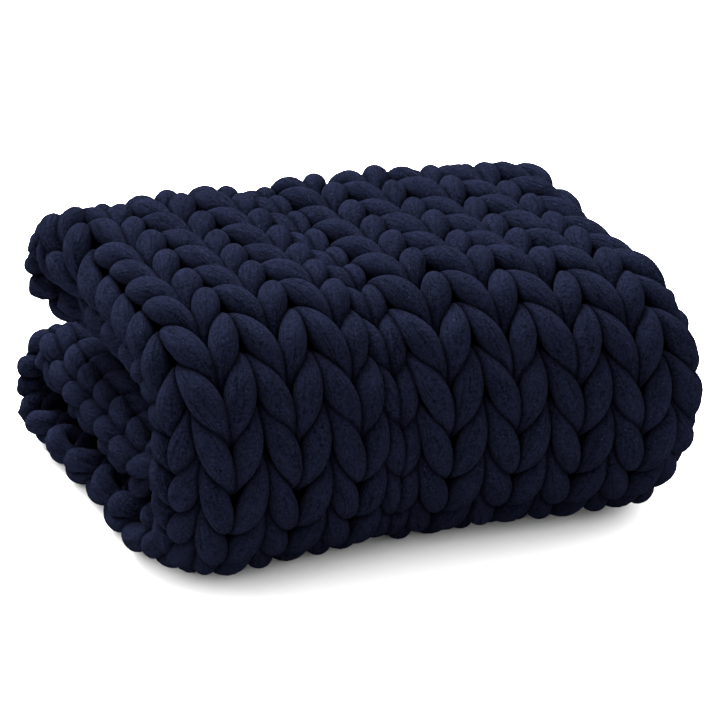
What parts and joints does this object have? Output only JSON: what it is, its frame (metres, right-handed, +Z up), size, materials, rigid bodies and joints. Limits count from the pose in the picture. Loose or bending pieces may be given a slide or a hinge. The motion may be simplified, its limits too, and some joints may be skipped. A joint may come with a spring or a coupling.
{
  "type": "weighted blanket",
  "caption": "Chunky knitted weighted blanket of stuffed tube yarn, folded into a plump rectangular stack with its columns of stitches running over the front fold.",
  "frame": {"origin": "middle of the footprint, on the surface the folded stack rests on", "axes": "+X along the front fold from its plumper end to its thinner end, +Y from the front fold to the back folds, +Z up"},
  "size_m": [0.6024, 0.5652, 0.3011],
  "materials": {
    "navy_jersey_tube_yarn": "matt brushed cotton jersey tube yarn, deep navy"
  },
  "bodies": {
    "root": {"blanket": "navy_jersey_tube_yarn"}
  },
  "joints": []
}
